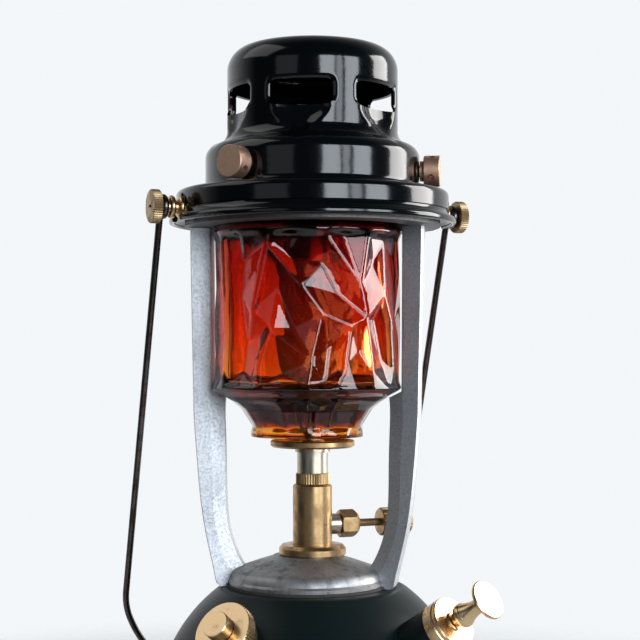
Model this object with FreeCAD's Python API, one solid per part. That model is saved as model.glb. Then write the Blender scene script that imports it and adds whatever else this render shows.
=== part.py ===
import FreeCAD, Part
import math
import os
from FreeCAD import Vector

# Paraffin pressure lantern, in millimetres. Z is up, the origin is the centre of the foot's
# ground face, and X runs along the pins of the carrying bail. Bearings are measured round the
# lantern from -Y towards +X.

# Tank
TANK_RADIUS = 74.5
TANK_CENTRE = 24.2          # height of the dome's sphere centre and of the widest line
TANK_WALL = 1.2
SEAT_HEIGHT = 84.6          # flat top of the dome, where the cage stands
FOOT_RADIUS = 60.0

# Cage
PLATE_RADIUS = 37.0
PLATE_BOTTOM = 85.8
PLATE_TOP = 99.2
UPRIGHT_BEARINGS = {"cage_upright_right": 60, "cage_upright_left": -120}
CAGE_SHIFT = Vector(-2.4, 1.0, 0)   # the cage and its glass stand a little off the burner's axis
PLATE_BORE = 11.0
RING_BOTTOM = 254.5
RING_TOP = 258.5
COLLAR_RADIUS = 48.6
COLLAR_TOP = 284.0
# (height, inner radius, outer radius, width, depth of the nose) of an upright, from the ring to the foot
UPRIGHT_SHANK = [(RING_BOTTOM, 45.6, 55.8, 14.0, 0.8), (220, 45.5, 55.2, 14.0, 0.8),
                 (177, 45.3, 54.3, 14.0, 0.8)]
UPRIGHT_LEDGE = [(177, 45.3, 54.3, 14.0, 0.8), (174, 39.3, 54.2, 14.0, 6.2)]
UPRIGHT_LEG = [(174, 39.3, 54.2, 14.0, 6.2), (149, 39.2, 52.9, 14.0, 6.0), (125, 38.9, 50.7, 14.2, 5.6),
               (107, 36.2, 47.7, 14.8, 5.6), (96, 31.5, 45.1, 15.8, 6.0), (88, 26.0, 43.3, 17.0, 7.0)]
UPRIGHT_FOOT = [(88, 26.0, 43.3, 17.0, 7.0), (86, 25.6, 42.8, 17.2, 7.0),
                (SEAT_HEIGHT, 25.2, 41.4, 17.2, 7.0)]
UPRIGHT_DRAFT = 0.32         # how much each side closes in per unit of depth
NOSE_DRAFT = 0.48            # the same over the nose under the glass

# Hood
HOOD_WALL = 1.2
CAP_RADIUS = 40.5
CAP_TOP = 341.2
TIER_RADIUS = 50.8
SKIRT_RADIUS = 64.6
GROOVE_HEIGHT = 262.4
BRIM_RADIUS = 68.0
BRIM_BOTTOM = 255.5
WINDOW_BEARINGS = [30, 90, 150, 210, 270, 330]
WINDOW_HALF_ANGLE = 21.5
WINDOW_BOTTOM, WINDOW_TOP = 306.7, 320.6
HOOD_SCREW_BEARINGS = [-60, 60, 180]
HOOD_SCREW_HEIGHT = 280.5

# Bail
BAIL_PIVOT = Vector(0, 0, 262)
BAIL_WIRE = 1.6             # radius of the wire
BAIL_HALF_SPAN = 73.7
BAIL_LENGTH = 258.0         # pivot to the outside of the crown
BAIL_CROWN_DEPTH = 60.4     # how far the crown drops below the straight legs
BAIL_BEND = 36.0            # radius of the bend between a leg and the crown
BAIL_REST = 18.0            # degrees back from hanging straight down
BAIL_SHAFT = 2.5

# Burner stack, and the control spindle that enters it sideways
CONTROL_HEIGHT = 113.4
SPINDLE_RADIUS = 1.85
ECCENTRIC = 1.2
NEEDLE_ROD = 0.6
RUNNING = 0.05              # radial clearance of shafts in their bores

# Glass
GLASS_RADIUS = 44.9
GLASS_TOP = 262.0

# Pump and filler point straight out of the sphere of the dome
PUMP_BEARING, PUMP_TILT = 27.0, 32.5
FILLER_BEARING, FILLER_TILT = -57.0, 35.4
SPHERE = Vector(0, 0, TANK_CENTRE)
PUMP_BORE = 9.0

UP = Vector(0, 0, 1)


def outward(bearing, tilt=0.0):
    """Unit vector away from the lantern's axis at a bearing, tilted up by some degrees."""
    turn, rise = math.radians(bearing), math.radians(tilt)
    return Vector(math.sin(turn) * math.cos(rise), -math.cos(turn) * math.cos(rise), math.sin(rise))


def outline_wire(points, closed=True):
    """Wire in the XZ plane. (r, z) is a straight step, (r, z, r, z) an arc through and to."""
    edges = []
    here = Vector(points[0][0], 0, points[0][1])
    for point in points[1:] + (points[:1] if closed else []):
        there = Vector(point[-2], 0, point[-1])
        if len(point) == 4:
            edges.append(Part.Arc(here, Vector(point[0], 0, point[1]), there).toShape())
        else:
            edges.append(Part.LineSegment(here, there).toShape())
        here = there
    return Part.Wire(edges)


def turned(points):
    """Solid made by turning a closed outline about Z."""
    return Part.Face(outline_wire(points)).revolve(Vector(0, 0, 0), UP, 360)


def sheet(points, thickness):
    """Turned sheet metal: an open outer outline thickened inwards."""
    skin = outline_wire(points, closed=False).makeOffset2D(-thickness, fill=True, openResult=True)
    return skin.Faces[0].revolve(Vector(0, 0, 0), UP, 360)


def ring(inner, outer, bottom, top):
    """Plain ring or washer about Z."""
    return turned([(inner, bottom), (outer, bottom), (outer, top), (inner, top)])


def rod(radius, bottom, top):
    """Plain cylinder on Z between two heights."""
    return Part.makeCylinder(radius, top - bottom, Vector(0, 0, bottom))


def knurled(radius, bottom, top, teeth, depth=0.35, bevel=0.5):
    """Disc with straight knurling round its rim and bevelled corners."""
    rim = []
    for step in range(2 * teeth):
        angle = math.pi * step / teeth
        reach = radius - depth * (step % 2)
        rim.append(Vector(reach * math.cos(angle), reach * math.sin(angle), bottom))
    prism = Part.Face(Part.makePolygon(rim + rim[:1])).extrude(Vector(0, 0, top - bottom))
    envelope = turned([(0, bottom), (radius - bevel, bottom), (radius, bottom + bevel),
                       (radius, top - bevel), (radius - bevel, top), (0, top)])
    return prism.common(envelope)


def placed(shape, origin, direction):
    """The shape with its own Z axis turned to a direction and its origin moved."""
    moved = shape.copy()
    moved.Placement = FreeCAD.Placement(origin, FreeCAD.Rotation(UP, direction))
    return moved


def on_pump(shape):
    """Place a shape on the pump's axis; its Z is the distance from the sphere's centre."""
    return placed(shape, SPHERE, outward(PUMP_BEARING, PUMP_TILT))


def on_filler(shape):
    """Place a shape on the filler's axis; its Z is the distance from the sphere's centre."""
    return placed(shape, SPHERE, outward(FILLER_BEARING, FILLER_TILT))


def on_control(shape):
    """Place a shape on the control spindle; its Z is the distance from the lantern's axis."""
    return placed(shape, Vector(0, 0, CONTROL_HEIGHT), Vector(1, 0, 0))


# ---------------------------------------------------------------- tank

def tank_dome():
    """Upper shell: a sphere cut off flat on top, bored for the stem, the pump and the filler."""
    inner_radius = TANK_RADIUS - TANK_WALL
    middle = math.radians(27)
    inner_seat = math.sqrt(inner_radius**2 - (SEAT_HEIGHT - TANK_WALL - TANK_CENTRE)**2)
    shell = turned([
        (TANK_RADIUS, TANK_CENTRE),
        (TANK_RADIUS * math.cos(middle), TANK_CENTRE + TANK_RADIUS * math.sin(middle), 44.6, 83.87),
        (43.7, 84.3), (42.4, SEAT_HEIGHT),
        (8.2, SEAT_HEIGHT), (8.2, SEAT_HEIGHT - TANK_WALL), (inner_seat, SEAT_HEIGHT - TANK_WALL),
        (inner_radius * math.cos(middle), TANK_CENTRE + inner_radius * math.sin(middle),
         inner_radius, TANK_CENTRE)])
    shell = shell.cut(on_pump(rod(PUMP_BORE + 1.2, 60, 90)))
    return shell.cut(on_filler(rod(9.6, 60, 90)))


def tank_pan():
    """Lower shell, drawn in to the foot and closed by a raised bottom."""
    wall = TANK_WALL
    return turned([
        (TANK_RADIUS, TANK_CENTRE), (70.6, 11.6, FOOT_RADIUS, 4.5), (54, 4.5), (50, 8), (0, 8),
        (0, 8 + wall), (49.5, 8 + wall), (53.6, 4.5 + wall), (FOOT_RADIUS - 0.5, 4.5 + wall),
        (69.5, 12.3, TANK_RADIUS - wall, TANK_CENTRE)])


def foot_ring():
    """Rubber ring under the pan."""
    return turned([(53, 0), (59, 0), (60.2, 1.5), (FOOT_RADIUS, 4.5), (54, 4.5)])


# ---------------------------------------------------------------- cage

def on_cage(shape):
    """Move a shape made about the lantern's axis to the cage's own axis."""
    shape.translate(CAGE_SHIFT)
    return shape


def cage_gasket():
    return on_cage(ring(PLATE_BORE, PLATE_RADIUS + 1.0, SEAT_HEIGHT, PLATE_BOTTOM))


def plate_outline(cored):
    """Outline of the base plate; the core is the hollow under the casting."""
    core = [(13, PLATE_BOTTOM), (13, 92.5), (29, 89.5), (31, PLATE_BOTTOM)] if cored else []
    return [(PLATE_BORE, PLATE_BOTTOM)] + core + [
        (PLATE_RADIUS, PLATE_BOTTOM), (PLATE_RADIUS + 0.2, 87.4), (36.2, 88.4),
        (35.1, 91.4, 32.4, 93.3), (24.2, 96.2), (16.9, 98.5), (15.9, PLATE_TOP), (PLATE_BORE, PLATE_TOP)]


def cage_base_plate():
    return on_cage(turned(plate_outline(cored=True)))


def upright_section(level, inner, outer, width, nose):
    """Eight-sided section of an upright: drafted sides, a sharper nose inside, shallow bevels outside."""
    half = width / 2
    neck = half - UPRIGHT_DRAFT * (outer - 1.0 - inner - nose)
    corners = [(inner, neck - NOSE_DRAFT * nose), (inner + nose, neck), (outer - 1.0, half),
               (outer, half - 2.4)]
    corners += [(reach, -side) for reach, side in reversed(corners)]
    points = [Vector(reach, side, level) for reach, side in corners]
    return Part.makePolygon(points + points[:1])


def cage_upright(bearing):
    """One cast upright, lofted from section to section, standing on the dome's flat seat."""
    stages = [(UPRIGHT_SHANK, True), (UPRIGHT_LEDGE, True), (UPRIGHT_LEG, False), (UPRIGHT_FOOT, True)]
    lofts = [Part.makeLoft([upright_section(*row) for row in rows], True, straight)
             for rows, straight in stages]
    body = lofts[0].multiFuse(lofts[1:])
    plate = turned(plate_outline(cored=False))
    body = body.cut(plate.fuse(rod(PLATE_RADIUS + 1.0, SEAT_HEIGHT, PLATE_BOTTOM)).fuse(
        rod(20, SEAT_HEIGHT, PLATE_TOP)))
    # the local X axis is turned to the bearing
    body = max(body.Solids, key=lambda solid: solid.Volume)
    body.rotate(Vector(0, 0, 0), UP, bearing - 90)
    return on_cage(body)


def cage_top_ring():
    """Flat ring with a collar for the hood's screws, a rib under the hood and two bail lugs."""
    body = turned([
        (46.9, RING_BOTTOM), (60.5, RING_BOTTOM), (60.5, RING_TOP), (58.6, RING_TOP), (58.6, 270.2),
        (57.0, 270.2), (57.0, RING_TOP), (COLLAR_RADIUS, RING_TOP), (COLLAR_RADIUS, COLLAR_TOP),
        (46.9, COLLAR_TOP)])
    for side in (-1, 1):
        lug = Part.makeBox(5.5, 12, 12.5, Vector(56.0, -6, 255.2))
        if side < 0:
            lug.rotate(Vector(0, 0, 0), UP, 180)
        body = body.fuse(lug).cut(placed(rod(3.0, 57.5, 70), BAIL_PIVOT, Vector(side, 0, 0)))
    return body.removeSplitter()


# ---------------------------------------------------------------- bail

def bail_standoff(side):
    """Turned brass standoff screwed into the ring's lug, with the shaft the bail swings on."""
    body = turned([
        (0, 57.5), (3.0, 57.5), (3.0, 64.6), (4.6, 64.6), (5.35, 65.7, 4.6, 66.8), (3.1, 67.4),
        (3.1, 68.4), (5.0, 68.9), (5.35, 69.9, 5.0, 70.9), (3.6, 71.3), (3.6, 71.8),
        (BAIL_SHAFT, 71.8), (BAIL_SHAFT, 78.2), (0, 78.2)])
    return placed(body, BAIL_PIVOT, Vector(side, 0, 0))


def bail_nut(side):
    """Knurled thumb nut with a screwdriver slot in its outer face."""
    nut = knurled(7.8, 75.7, 79.9, 44, depth=0.4, bevel=0.4)
    nut = nut.cut(rod(BAIL_SHAFT + RUNNING, 75, 78.6))
    nut = nut.cut(Part.makeBox(1.2, 4.4, 2, Vector(-0.6, -2.2, 79.0)))
    return placed(nut, BAIL_PIVOT, Vector(side, 0, 0))


def bail_path(side_shift):
    """Centre line of the bail hanging straight down: leg, bend, crown, bend and leg."""
    depth = BAIL_CROWN_DEPTH
    bend_middle = BAIL_HALF_SPAN - BAIL_BEND
    crown = (bend_middle**2 + depth**2 - BAIL_BEND**2) / (2 * (depth - BAIL_BEND))
    lean = math.atan2(crown - depth, bend_middle)
    leg_end = BAIL_LENGTH - BAIL_WIRE - depth

    def point(across, below):
        return Vector(across, side_shift, -leg_end - below)

    def on_bend(side, turn):
        return point(side * (bend_middle + BAIL_BEND * math.cos(turn)), BAIL_BEND * math.sin(turn))

    top = Vector(0, 0, leg_end)
    edges = [
        Part.LineSegment(point(-BAIL_HALF_SPAN, 0) + top, point(-BAIL_HALF_SPAN, 0)).toShape(),
        Part.Arc(on_bend(-1, 0), on_bend(-1, lean / 2), on_bend(-1, lean)).toShape(),
        Part.Arc(on_bend(-1, lean), point(0, depth), on_bend(1, lean)).toShape(),
        Part.Arc(on_bend(1, lean), on_bend(1, lean / 2), on_bend(1, 0)).toShape(),
        Part.LineSegment(point(BAIL_HALF_SPAN, 0), point(BAIL_HALF_SPAN, 0) + top).toShape()]
    return Part.Wire(edges)


def bail():
    """Wire handle: two eyes with short tails, two straight legs and a crown, hanging to the back."""
    eye_radius = BAIL_SHAFT + RUNNING + BAIL_WIRE
    path = bail_path(eye_radius)
    start = Vector(-BAIL_HALF_SPAN, eye_radius, 0)
    section = Part.Wire([Part.makeCircle(BAIL_WIRE, start, UP)])
    body = path.makePipeShell([section], True, False)
    for side in (-1, 1):
        middle = Vector(side * BAIL_HALF_SPAN, 0, 0)
        tail = Part.makeCylinder(BAIL_WIRE, 12.5, middle + Vector(0, -eye_radius, 0), -UP)
        eye = Part.makeTorus(eye_radius, BAIL_WIRE, middle, Vector(1, 0, 0))
        body = body.fuse(eye.fuse(tail))
    bore = Part.makeCylinder(BAIL_SHAFT + RUNNING, 200, Vector(-100, 0, 0), Vector(1, 0, 0))
    body = body.cut(bore)
    body.rotate(Vector(0, 0, 0), Vector(1, 0, 0), BAIL_REST)
    body.translate(BAIL_PIVOT)
    return body


# ---------------------------------------------------------------- hood

HOOD_OUTLINE = [
    (0, CAP_TOP), (15, 340.9, 27.5, 339.9), (36.9, 336.6, CAP_RADIUS, 328.5), (CAP_RADIUS, 300.5),
    (41.5, 296.2, 45.0, 293.2), (49.3, 290.8, TIER_RADIUS, 286.2), (TIER_RADIUS, 275.0),
    (51.7, 272.8, 54.0, 271.9), (61.4, 271.4), (63.8, 270.6, SKIRT_RADIUS, 268.6),
    (SKIRT_RADIUS, GROOVE_HEIGHT)]


def hood_window(bearing):
    """Cutter for one window: a rounded rectangle pushed straight out through the cap's wall."""
    width = 2 * CAP_RADIUS * math.sin(math.radians(WINDOW_HALF_ANGLE))
    height = WINDOW_TOP - WINDOW_BOTTOM
    block = Part.makeBox(12, width, height, Vector(33, -width / 2, WINDOW_BOTTOM))
    lengthwise = [edge for edge in block.Edges if abs(edge.tangentAt(0).x) > 0.9]
    block = block.makeFillet(3.0, lengthwise)
    block.rotate(Vector(0, 0, 0), UP, bearing - 90)
    return block


def hood_dent(bearing, grow):
    """Cutter for the scoop pressed in under a window; grown by the sheet for the inner face."""
    width = 2 * CAP_RADIUS * math.sin(math.radians(WINDOW_HALF_ANGLE)) - 2.0 + 2 * grow
    points = [(34.4 - grow, WINDOW_BOTTOM + 6), (35.2 - grow, WINDOW_BOTTOM - 1.5),
              (37.6 - grow, 299.0 - grow / 2), (42.5, 294.6 - grow), (60, 294.6 - grow),
              (60, WINDOW_BOTTOM + 6)]
    face = Part.Face(outline_wire(points))
    block = face.extrude(Vector(0, width, 0))
    block.translate(Vector(0, -width / 2, 0))
    block.rotate(Vector(0, 0, 0), UP, bearing - 90)
    return block


def hood_crown():
    """Enamelled cap, shoulder and skirt in one pressing, with six windows and their scoops."""
    shell = sheet(HOOD_OUTLINE, HOOD_WALL)
    cap_zone = turned([(0, 290), (60, 290), (60, 330), (0, 330)])
    for bearing in WINDOW_BEARINGS:
        dent = hood_dent(bearing, 0.0).common(cap_zone)
        liner = hood_dent(bearing, HOOD_WALL).cut(dent).common(hood_core())
        shell = shell.cut(dent).fuse(liner)
    for bearing in WINDOW_BEARINGS:
        shell = shell.cut(hood_window(bearing))
    for bearing in HOOD_SCREW_BEARINGS:
        hole = placed(rod(2.4 + RUNNING, 40, 60), Vector(0, 0, HOOD_SCREW_HEIGHT), outward(bearing))
        shell = shell.cut(hole)
    for side in (-1, 1):
        shell = shell.cut(stud_notch(side))
    return shell


def hood_core():
    """Solid filling the cap, used to trim the scoops' walls to the hood's outside."""
    return turned([(0, 290), (46.5, 290), (45.0, 293.2), (41.5, 296.2, CAP_RADIUS, 300.5),
                   (CAP_RADIUS, WINDOW_BOTTOM + 6), (0, WINDOW_BOTTOM + 6)])


def stud_notch(side):
    """Open-bottomed notch that lets the hood lift off over a bail standoff."""
    half = 5.8
    notch = Part.makeBox(16, 2 * half, 262 - 250, Vector(60, -half, 250))
    notch = notch.fuse(Part.makeCylinder(half, 16, Vector(60, 0, 262), Vector(1, 0, 0)))
    if side < 0:
        notch.rotate(Vector(0, 0, 0), UP, 180)
    return notch


def hood_brim():
    """Flared brim with a rolled lip, joined to the skirt at the groove."""
    body = turned([
        (63.4, GROOVE_HEIGHT), (63.9, GROOVE_HEIGHT), (64.4, 260.6, 65.6, 259.2),
        (67.6, 258.4, BRIM_RADIUS, 257.0), (67.6, 255.8, 66.6, BRIM_BOTTOM),
        (65.7, 255.8, 65.4, 256.8), (64.6, 258.0), (63.0, 259.4)])
    for side in (-1, 1):
        body = body.cut(stud_notch(side))
    return body


def hood_screw(bearing):
    """Thumb screw: cross-drilled cylindrical head, narrow neck, and a tip that ends at the collar."""
    body = turned([(0, 49.0), (2.0, 49.0), (2.4, 49.5), (2.4, 51.2), (4.8, 51.2), (4.8, 53.0),
                   (6.9, 53.0), (7.3, 53.4), (7.3, 60.3), (6.95, 60.65), (0, 60.65)])
    for turn in (0, 90):
        drill = Part.makeCylinder(1.6, 20, Vector(0, -10, 56.6), Vector(0, 1, 0))
        drill.rotate(Vector(0, 0, 0), UP, turn)
        body = body.cut(drill)
    return placed(body, Vector(0, 0, HOOD_SCREW_HEIGHT), outward(bearing))


# ---------------------------------------------------------------- glass and burner

def glass_globe():
    """Thick glass: straight sides on a shoulder, a neck drawn in over the burner, a thinner rim on top."""
    return on_cage(turned([
        (26.6, 155.5), (26.8, 160.4), (28.4, 163), (32, 168.4), (37.6, 172.8), (39.3, 174.9),
        (42.9, 176.8), (44.4, 177.4, GLASS_RADIUS, 178.8), (GLASS_RADIUS, 251.5),
        (43.9, 253.5), (43.9, GLASS_TOP), (41.9, GLASS_TOP), (41.9, 180.6), (37.0, 177.2), (30.0, 171.0),
        (25.8, 165.2), (23.6, 160.6), (23.4, 155.5)]))


def base_flange():
    return turned([(3.1, PLATE_TOP), (15.3, PLATE_TOP), (15.9, 99.9), (15.9, 102.6), (14.6, 104.2),
                   (3.1, 104.2)])


def burner_sleeve():
    """Brass body over the flange, hollow where the spindle's eccentric lifts the needle rod."""
    body = turned([(3.1, 104.2), (9.3, 104.2), (9.3, 132.0), (8.6, 132.7), (1.7, 132.7), (1.7, 124),
                   (6.0, 122), (6.0, 107), (3.1, 105.5)])
    return body.cut(on_control(rod(4.95, 3, 12)))


def packing_boss():
    """Nickelled side boss with a threaded nose, bored for the spindle."""
    bore = SPINDLE_RADIUS + RUNNING
    return on_control(turned([(bore, 6.0), (4.95, 6.0), (4.95, 13.0), (4.0, 13.3), (4.0, 17.0),
                              (bore, 17.0)]))


def packing_nut():
    """Hexagonal gland nut, bevelled at its outer end."""
    corner = 5.8 / math.cos(math.radians(30))
    points = [Vector(corner * math.cos(math.radians(60 * i)), corner * math.sin(math.radians(60 * i)), 13.6)
              for i in range(6)]
    prism = Part.Face(Part.makePolygon(points + points[:1])).extrude(Vector(0, 0, 9.1))
    envelope = turned([(0, 13.6), (6.2, 13.6), (6.75, 14.1), (6.75, 20.6), (4.9, 22.7), (0, 22.7)])
    hollow = turned([(0, 13), (4.05, 13), (4.05, 20.5), (SPINDLE_RADIUS + RUNNING, 20.5),
                     (SPINDLE_RADIUS + RUNNING, 23), (0, 23)])
    return on_control(prism.common(envelope).cut(hollow))


def spindle_packing():
    return on_control(ring(SPINDLE_RADIUS + RUNNING, 4.0, 17.1, 20.4))


def control_spindle():
    """Spindle whose eccentric pin, at the bottom when closed, lifts the needle rod."""
    shaft = rod(SPINDLE_RADIUS, 2.3, 35.4)
    pin = Part.makeCylinder(0.6, 3.3, Vector(ECCENTRIC, 0, -0.8))
    return on_control(shaft.fuse(pin))


def control_knob():
    """Fluted brass knob pressed on the spindle."""
    knob = turned([(0, 34.9), (6.0, 34.9), (6.8, 35.7), (6.8, 49.2), (5.8, 50.2), (0, 50.2)])
    for step in range(14):
        angle = 2 * math.pi * step / 14
        flute = Part.makeCylinder(0.95, 20, Vector(7.2 * math.cos(angle), 7.2 * math.sin(angle), 33))
        knob = knob.cut(flute)
    return on_control(knob.cut(rod(SPINDLE_RADIUS, 30, 35.4)))


def needle_rod():
    """Rod with a slotted yoke round the eccentric, and the needle that clears the jet."""
    low = CONTROL_HEIGHT - ECCENTRIC
    yoke = Part.makeBox(1.4, 6.8, 4.8, Vector(-0.7, -3.4, low - 2.4))
    yoke = yoke.cut(Part.makeBox(3, 5.0, 2.6, Vector(-1.5, -2.5, low - 1.3)))
    body = yoke.fuse(rod(NEEDLE_ROD, low + 2.0, 283.5))
    return body.fuse(turned([(0, 283.5), (NEEDLE_ROD, 283.5), (0.3, 284.5), (0.3, 286.2), (0, 286.2)]))


def union_ring():
    return knurled(7.9, 132.7, 138.2, 40, depth=0.3, bevel=0.5).cut(rod(1.7, 130, 140))


def stem_tube():
    """Nickelled stem between the union ring and the gallery, with a narrow flange on top."""
    return turned([(1.7, 138.2), (7.3, 138.2), (7.3, 147.9), (8.3, 148.1), (8.3, 150.3), (1.7, 150.3)])


def gallery_plate():
    return turned([(1.7, 150.3), (18.6, 150.3), (20.0, 151.2), (20.0, 153.2), (19.4, 153.8),
                   (18.2, 153.8), (17.6, 152.4), (6.0, 152.4), (5.4, 153.8), (1.7, 153.8)])


def vaporiser_tube():
    return ring(1.7, 4.2, 153.8, 284.0)


def jet():
    """Nipple on top of the vaporiser, with the small hole that the needle clears."""
    return turned([(1.7, 284.0), (5.0, 284.0), (5.0, 287.0), (2.6, 289.2), (0.7, 289.2),
                   (0.7, 286.8), (1.7, 285.6)])


def mantle():
    """Double-tied mantle: a woven sock tied round the vaporiser below and the carrier above."""
    outer = [(5.2, 168.0), (8.5, 171.5, 14.5, 179.0), (19.4, 192.0, 18.6, 206.0),
             (16.4, 220.5, 12.2, 231.0)]
    inner = [(11.2, 231.0), (15.4, 220.3, 17.6, 206.0), (18.4, 192.0, 13.6, 179.5),
             (7.9, 172.4, 4.3, 168.8)]
    return turned(outer + inner + [(4.3, 168.0)])


def mantle_carrier():
    """Ceramic ring the mantle's upper tie grips."""
    return turned([(6.6, 231.0), (12.0, 231.0), (11.2, 234.0), (12.4, 236.5), (12.4, 240.0),
                   (6.6, 240.0)])


def burner_head():
    return turned([(6.6, 240.0), (13.0, 240.0), (13.0, 262.5), (11.8, 262.5), (11.8, 241.4),
                   (6.6, 241.4)])


def burner_spider():
    """Three-armed bracket that hangs the burner head from the cage's collar."""
    body = ring(13.0, 16.0, 262.5, 264.0)
    for bearing in (0, 120, 240):
        arm = Part.makeBox(33.2, 8, 1.5, Vector(15, -4, 262.5))
        arm.rotate(Vector(0, 0, 0), UP, bearing - 90)
        body = body.fuse(arm)
    return body.common(rod(46.9, 260, 266)).removeSplitter()


def mixing_chamber():
    """Domed cap over the jet, with air holes, that leads the gas down to the burner head."""
    body = turned([(13.0, 262.5), (13.0, 289.0), (11.2, 295.6, 4.0, 298.6), (0, 298.8), (0, 297.8),
                   (3.6, 297.6), (10.2, 294.8, 12.0, 289.0), (12.0, 262.5)])
    for bearing in (45, 135, 225, 315):
        hole = placed(rod(3.6, 5, 20), Vector(0, 0, 277), outward(bearing))
        body = body.cut(hole)
    return body


# ---------------------------------------------------------------- fuel path

def stem_union():
    """Threaded union that carries the burner through the plate and the tank's top."""
    return ring(3.1, 8.0, 79.0, PLATE_TOP)


def stem_locknut():
    corner = 11.5 / math.cos(math.radians(30))
    points = [Vector(corner * math.cos(math.radians(60 * i)), corner * math.sin(math.radians(60 * i)), 79.4)
              for i in range(6)]
    prism = Part.Face(Part.makePolygon(points + points[:1])).extrude(Vector(0, 0, 4.0))
    return prism.cut(rod(8.0, 70, 90))


def pickup_tube():
    return ring(1.8, 3.1, 14.0, 105.0)


def pickup_filter():
    return turned([(3.1, 20.0), (5.2, 20.0), (5.2, 11.2), (0, 11.2), (0, 12.0), (4.6, 12.0),
                   (4.6, 19.0), (3.1, 19.0)])


# ---------------------------------------------------------------- pump

def pump_boss():
    """Painted boss that joins the pump's barrel to the dome."""
    dome = Part.makeSphere(TANK_RADIUS, SPHERE)
    return on_pump(ring(PUMP_BORE + 1.2, 11.6, 66, 90.0)).cut(dome)


def pump_barrel():
    """Barrel closed at its inner end except for the valve."""
    bore, wall = PUMP_BORE, PUMP_BORE + 1.2
    return on_pump(turned([(bore, 90.0), (wall, 90.0), (wall, 26.0), (2.0, 26.0), (2.0, 27.6),
                           (bore, 27.6)]))


def check_valve():
    return on_pump(turned([(0, 18.0), (3.0, 18.0), (4.2, 19.2), (4.2, 26.0), (1.2, 26.0), (1.2, 20.0),
                           (0, 20.0)]))


def pump_cap():
    """Brass screw cap of the pump, with a plain band, a groove and a small boss for the rod."""
    rod_bore = 2.0 + RUNNING
    return on_pump(turned([
        (rod_bore, 90.0), (11.6, 90.0), (11.9, 90.4), (11.9, 95.2), (11.4, 95.6), (11.4, 96.1),
        (11.9, 96.5), (11.9, 97.5), (11.5, 98.0), (4.4, 98.0), (4.4, 98.6), (3.9, 98.9),
        (rod_bore, 98.9)]))


def pump_rod():
    return on_pump(rod(2.0, 30.2, 104.0))


def pump_piston():
    """Cup washer of the pump, open towards the valve."""
    return on_pump(turned([(2.0, 36.0), (2.0, 33.4), (8.2, 33.4), (8.2, 29.4), (PUMP_BORE - RUNNING, 29.4),
                           (PUMP_BORE - RUNNING, 36.0)]))


def piston_nut():
    return on_pump(ring(2.0, 4.6, 30.4, 33.4))


def pump_knob():
    """Polished knob: bulbous stem opening into a flat disc."""
    return on_pump(turned([
        (2.0, 99.6), (3.3, 99.6), (3.5, 101.6), (4.7, 101.9), (5.6, 103.4, 5.0, 105.8),
        (3.5, 110.6, 3.3, 114.0), (3.9, 116.4, 6.4, 117.6), (8.6, 118.1), (9.0, 118.6),
        (9.0, 119.4), (8.6, 119.8), (0, 119.8), (0, 104.0), (2.0, 104.0)]))


# ---------------------------------------------------------------- filler

def filler_neck():
    dome = Part.makeSphere(TANK_RADIUS, SPHERE)
    collar = on_filler(ring(9.6, 11.6, 66, 78.6)).cut(dome)
    return collar.fuse(on_filler(ring(8.5, 9.6, 70.0, 78.6))).removeSplitter()


def filler_gasket():
    return on_filler(ring(8.5, 11.4, 78.6, 79.0))


def filler_cap():
    """Wide knurled cap with its threaded plug, bored for the relief screw."""
    head = knurled(14.0, 79.3, 85.0, 64, depth=0.5, bevel=0.5)
    plug = ring(5.0, 8.5 - RUNNING, 72.0, 79.3)
    return on_filler(head.fuse(plug).cut(rod(3.0 + RUNNING, 70, 90)))


def relief_screw():
    """Button screw that lets the pressure out."""
    return on_filler(turned([(0, 73.0), (2.4, 73.0), (3.0, 73.6), (3.0, 85.4), (6.0, 85.4),
                             (6.25, 85.7), (6.25, 90.9), (5.9, 91.3), (0, 91.3)]))


# ---------------------------------------------------------------- the set of nodes

NODES = {
    "tank_dome": tank_dome, "tank_pan": tank_pan, "foot_ring": foot_ring,
    "cage_gasket": cage_gasket, "cage_base_plate": cage_base_plate, "cage_top_ring": cage_top_ring,
    "bail": bail, "hood_crown": hood_crown, "hood_brim": hood_brim, "glass_globe": glass_globe,
    "base_flange": base_flange, "burner_sleeve": burner_sleeve,
    "packing_boss": packing_boss, "packing_nut": packing_nut, "spindle_packing": spindle_packing,
    "control_spindle": control_spindle, "control_knob": control_knob, "needle_rod": needle_rod,
    "union_ring": union_ring, "stem_tube": stem_tube, "gallery_plate": gallery_plate,
    "vaporiser_tube": vaporiser_tube, "jet": jet, "mantle": mantle,
    "mantle_carrier": mantle_carrier, "burner_head": burner_head, "burner_spider": burner_spider,
    "mixing_chamber": mixing_chamber, "stem_union": stem_union, "stem_locknut": stem_locknut,
    "pickup_tube": pickup_tube, "pickup_filter": pickup_filter, "pump_boss": pump_boss,
    "pump_barrel": pump_barrel, "check_valve": check_valve, "pump_cap": pump_cap,
    "pump_rod": pump_rod, "pump_piston": pump_piston, "piston_nut": piston_nut,
    "pump_knob": pump_knob, "filler_neck": filler_neck, "filler_gasket": filler_gasket,
    "filler_cap": filler_cap, "relief_screw": relief_screw,
}


def build_all():
    """Make every node's solid, by name."""
    solids = {name: make() for name, make in NODES.items()}
    for name, bearing in UPRIGHT_BEARINGS.items():
        solids[name] = cage_upright(bearing)
    for name, side in (("left", -1), ("right", 1)):
        solids["bail_standoff_" + name] = bail_standoff(side)
        solids["bail_nut_" + name] = bail_nut(side)
    for number, bearing in enumerate(HOOD_SCREW_BEARINGS, start=1):
        solids["hood_screw_%d" % number] = hood_screw(bearing)
    return solids


os.makedirs("parts", exist_ok=True)
for node, solid in build_all().items():
    good = solid.isValid() and all(one.isClosed() for one in solid.Solids)
    print("%-22s solids %d volume %9.1f %s" % (node, len(solid.Solids), solid.Volume, "" if good else "BAD"))
    solid.exportStep("parts/%s.step" % node)
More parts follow.
